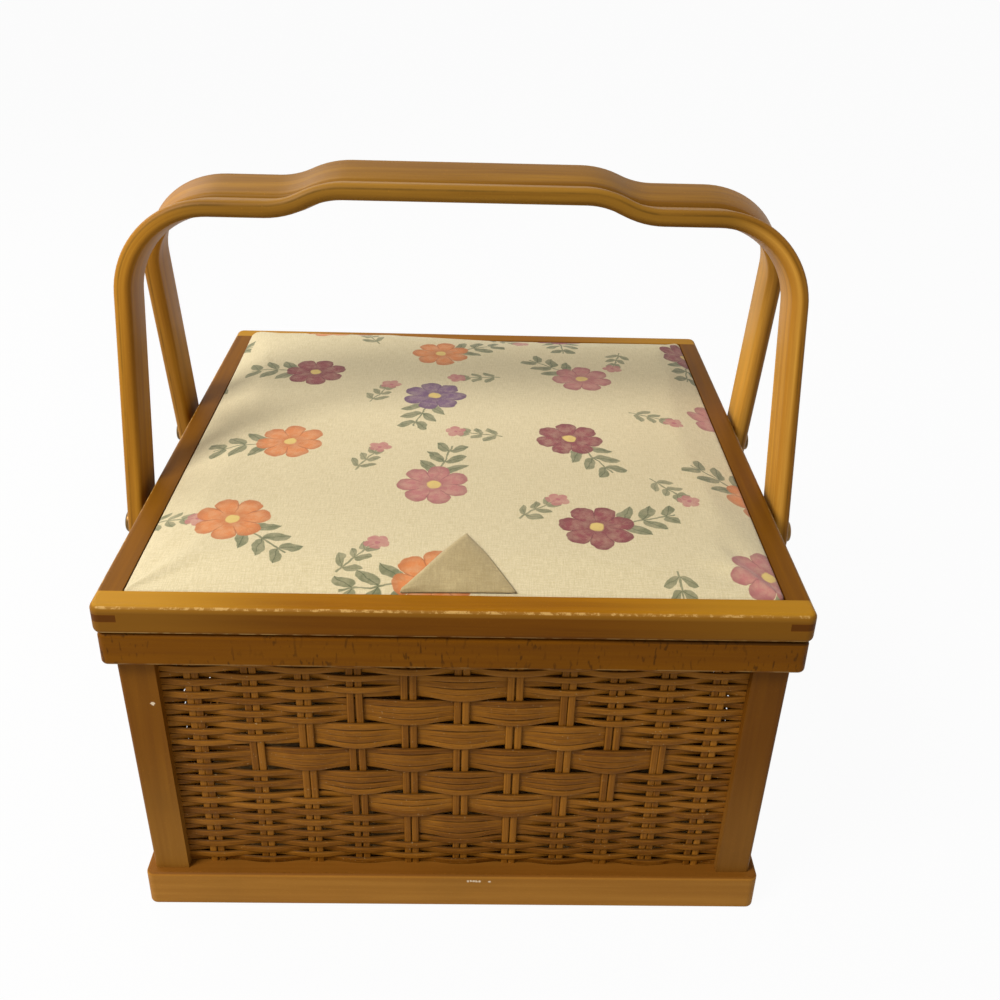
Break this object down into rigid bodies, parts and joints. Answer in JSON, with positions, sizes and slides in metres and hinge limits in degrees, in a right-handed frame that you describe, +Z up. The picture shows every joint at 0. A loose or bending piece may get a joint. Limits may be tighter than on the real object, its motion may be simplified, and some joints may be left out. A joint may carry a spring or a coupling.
{
  "type": "sewing basket",
  "caption": "Square wooden sewing basket with woven sides, a framed lid holding a lift-out padded lid, and bentwood swing handles.",
  "frame": {"origin": "middle of the footprint, on the surface that the base rails stand on", "axes": "+Z up, -Y towards the front, where the pull tab is, +X to the right; the handle pivots and the lid hinge lie along X"},
  "size_m": [0.3374, 0.3088, 0.3271],
  "materials": {
    "stained_wood": "honey stained hardwood under satin varnish",
    "rim_wood": "darker flecked hardwood, stained, satin varnish",
    "base_wood": "stained hardwood, satin varnish, worn edges",
    "bent_wood": "laminated bentwood, honey stained, satin varnish",
    "dark_wood": "dark stained turned wood",
    "plain_wood": "plain sanded wood",
    "plywood": "plain sanded plywood",
    "wicker": "split reed, honey stained and varnished",
    "foam": "upholstery foam",
    "cover_cloth": null,
    "tab_cloth": "unbleached linen weave, folded",
    "brass": "satin"
  },
  "bodies": {
    "basket": {"base_back_rail": "base_wood", "base_front_rail": "base_wood", "base_left_rail": "base_wood", "base_right_rail": "base_wood", "floor_board": "plywood", "hinge_left_pin": "brass", "hinge_left_rim_leaf": "brass", "hinge_right_pin": "brass", "hinge_right_rim_leaf": "brass", "hinge_rim_screws": "brass", "pivot_screws": "brass", "pivot_spacers": "dark_wood", "pivot_washers": "brass", "post_back_left": "stained_wood", "post_back_right": "stained_wood", "post_front_left": "stained_wood", "post_front_right": "stained_wood", "rim_back_rail": "rim_wood", "rim_front_rail": "rim_wood", "rim_left_rail": "rim_wood", "rim_right_rail": "rim_wood", "woven_back_panel": "wicker", "woven_front_panel": "wicker", "woven_left_panel": "wicker", "woven_right_panel": "wicker"},
    "lid": {"hinge_left_lid_leaf": "brass", "hinge_lid_screws": "brass", "hinge_right_lid_leaf": "brass", "ledge_back": "plain_wood", "ledge_front": "plain_wood", "ledge_left": "plain_wood", "ledge_right": "plain_wood", "lid_back_rail": "stained_wood", "lid_front_rail": "stained_wood", "lid_left_rail": "stained_wood", "lid_right_rail": "stained_wood", "tray_back_wall": "plain_wood", "tray_floor": "plywood", "tray_front_wall": "plain_wood", "tray_left_wall": "plain_wood", "tray_right_wall": "plain_wood"},
    "padded_lid": {"padded_lid_board": "plywood", "padded_lid_cover": "cover_cloth", "padded_lid_pad": "foam"},
    "pull_tab": {"pull_tab": "tab_cloth"},
    "front_handle": {"front_handle_bow": "bent_wood"},
    "rear_handle": {"rear_handle_bow": "bent_wood"}
  },
  "joints": [
    {"name": "front_handle_swing", "type": "hinge", "parent": "basket", "child": "front_handle", "pos_m": [0, -0.0497, 0.1581], "axis": [1, 0, 0], "range_deg": [0, 145]},
    {"name": "rear_handle_swing", "type": "hinge", "parent": "basket", "child": "rear_handle", "pos_m": [0, 0.0497, 0.1581], "axis": [-1, 0, 0], "range_deg": [0, 145]},
    {"name": "lid_hinge", "type": "hinge", "parent": "basket", "child": "lid", "pos_m": [0, 0.1545, 0.16655], "axis": [-1, 0, 0], "range_deg": [0, 28]},
    {"name": "padded_lid_lift", "type": "slide", "parent": "lid", "child": "padded_lid", "axis": [0, 0, 1], "range_m": [0, 0.025]},
    {"name": "pull_tab_flip", "type": "hinge", "parent": "padded_lid", "child": "pull_tab", "pos_m": [0.0013, -0.1389, 0.18526], "axis": [1, 0, 0], "range_deg": [0, 120]}
  ]
}
